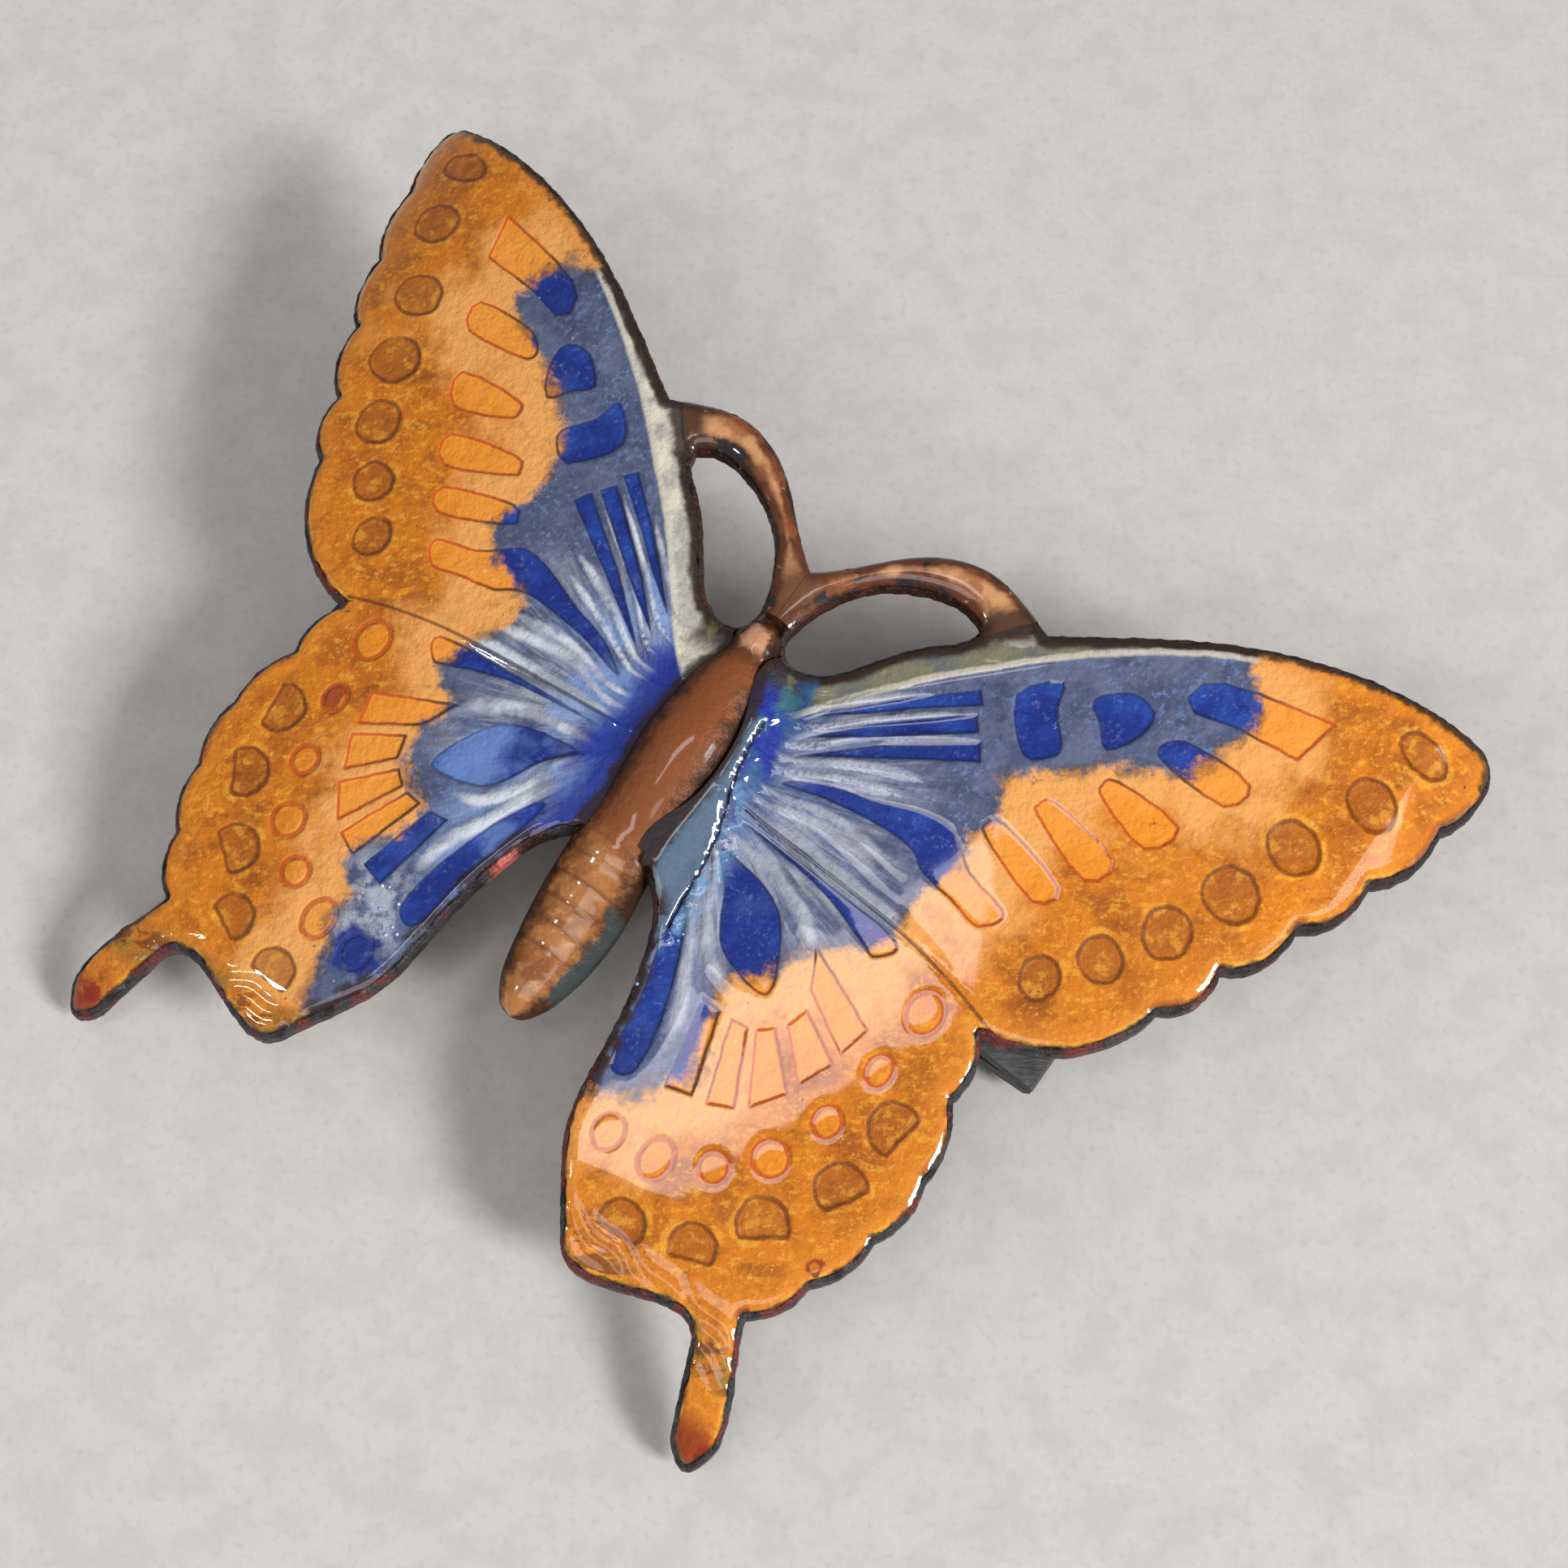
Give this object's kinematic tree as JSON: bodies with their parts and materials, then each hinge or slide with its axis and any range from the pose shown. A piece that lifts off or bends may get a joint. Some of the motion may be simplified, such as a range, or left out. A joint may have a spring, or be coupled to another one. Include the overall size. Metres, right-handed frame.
{
  "type": "enamelled butterfly hair barrette",
  "caption": "Enamelled copper swallowtail butterfly on an arched steel barrette clasp with a swinging arm, tension bow and squeeze catch that grips a lock of hair.",
  "frame": {"origin": "centre of the pin's bounding box, at the height of the surface that the closed clasp stands on", "axes": "+X across the wings, to the right as the enamelled face is seen with the head up, +Y towards the butterfly's head, +Z out of the enamelled face"},
  "size_m": [0.06, 0.0448, 0.0133],
  "materials": {
    "copper": "fire-darkened copper with red and black oxide",
    "brown_enamel": "clear fired enamel, glossy, amber brown",
    "blue_enamel": "clear fired enamel, glossy, grey blue",
    "orange_enamel": "clear fired enamel, glossy, orange",
    "copper_enamel": "clear fired enamel over bright copper",
    "steel": "dull nickel-plated steel",
    "spring_steel": "hardened strip"
  },
  "bodies": {
    "pin": {"copper_plate": "copper", "body_enamel": "brown_enamel", "left_forewing_blue_enamel": "blue_enamel", "left_forewing_orange_enamel": "orange_enamel", "left_hindwing_blue_enamel": "blue_enamel", "left_hindwing_orange_enamel": "orange_enamel", "right_forewing_blue_enamel": "blue_enamel", "right_forewing_orange_enamel": "orange_enamel", "right_hindwing_blue_enamel": "blue_enamel", "right_hindwing_orange_enamel": "orange_enamel", "left_antenna_enamel": "copper_enamel", "right_antenna_enamel": "copper_enamel", "clasp_base": "steel", "fixing_posts": "steel", "hinge_pin": "steel", "tension_bow": "spring_steel", "bow_rivet": "steel", "catch_rivet": "steel", "catch_block": "steel"},
    "arm": {"clasp_arm": "steel"},
    "rear_prong": {"rear_catch_prong": "spring_steel"},
    "front_prong": {"front_catch_prong": "spring_steel"}
  },
  "joints": [
    {"name": "arm_hinge", "type": "hinge", "parent": "pin", "child": "arm", "pos_m": [-0.0172, 0.0025, 0.0016], "axis": [0, 1, 0], "range_deg": [0, 75]},
    {"name": "front_prong_flex", "type": "hinge", "parent": "pin", "child": "front_prong", "pos_m": [0.018, 0.0014, 0.0036], "axis": [1, 0, 0], "range_deg": [0, 12], "stiffness_Nm_per_rad": 0.02},
    {"name": "rear_prong_flex", "type": "hinge", "parent": "pin", "child": "rear_prong", "pos_m": [0.018, 0.0036, 0.0036], "axis": [-1, 0, 0], "range_deg": [0, 12], "stiffness_Nm_per_rad": 0.02}
  ]
}
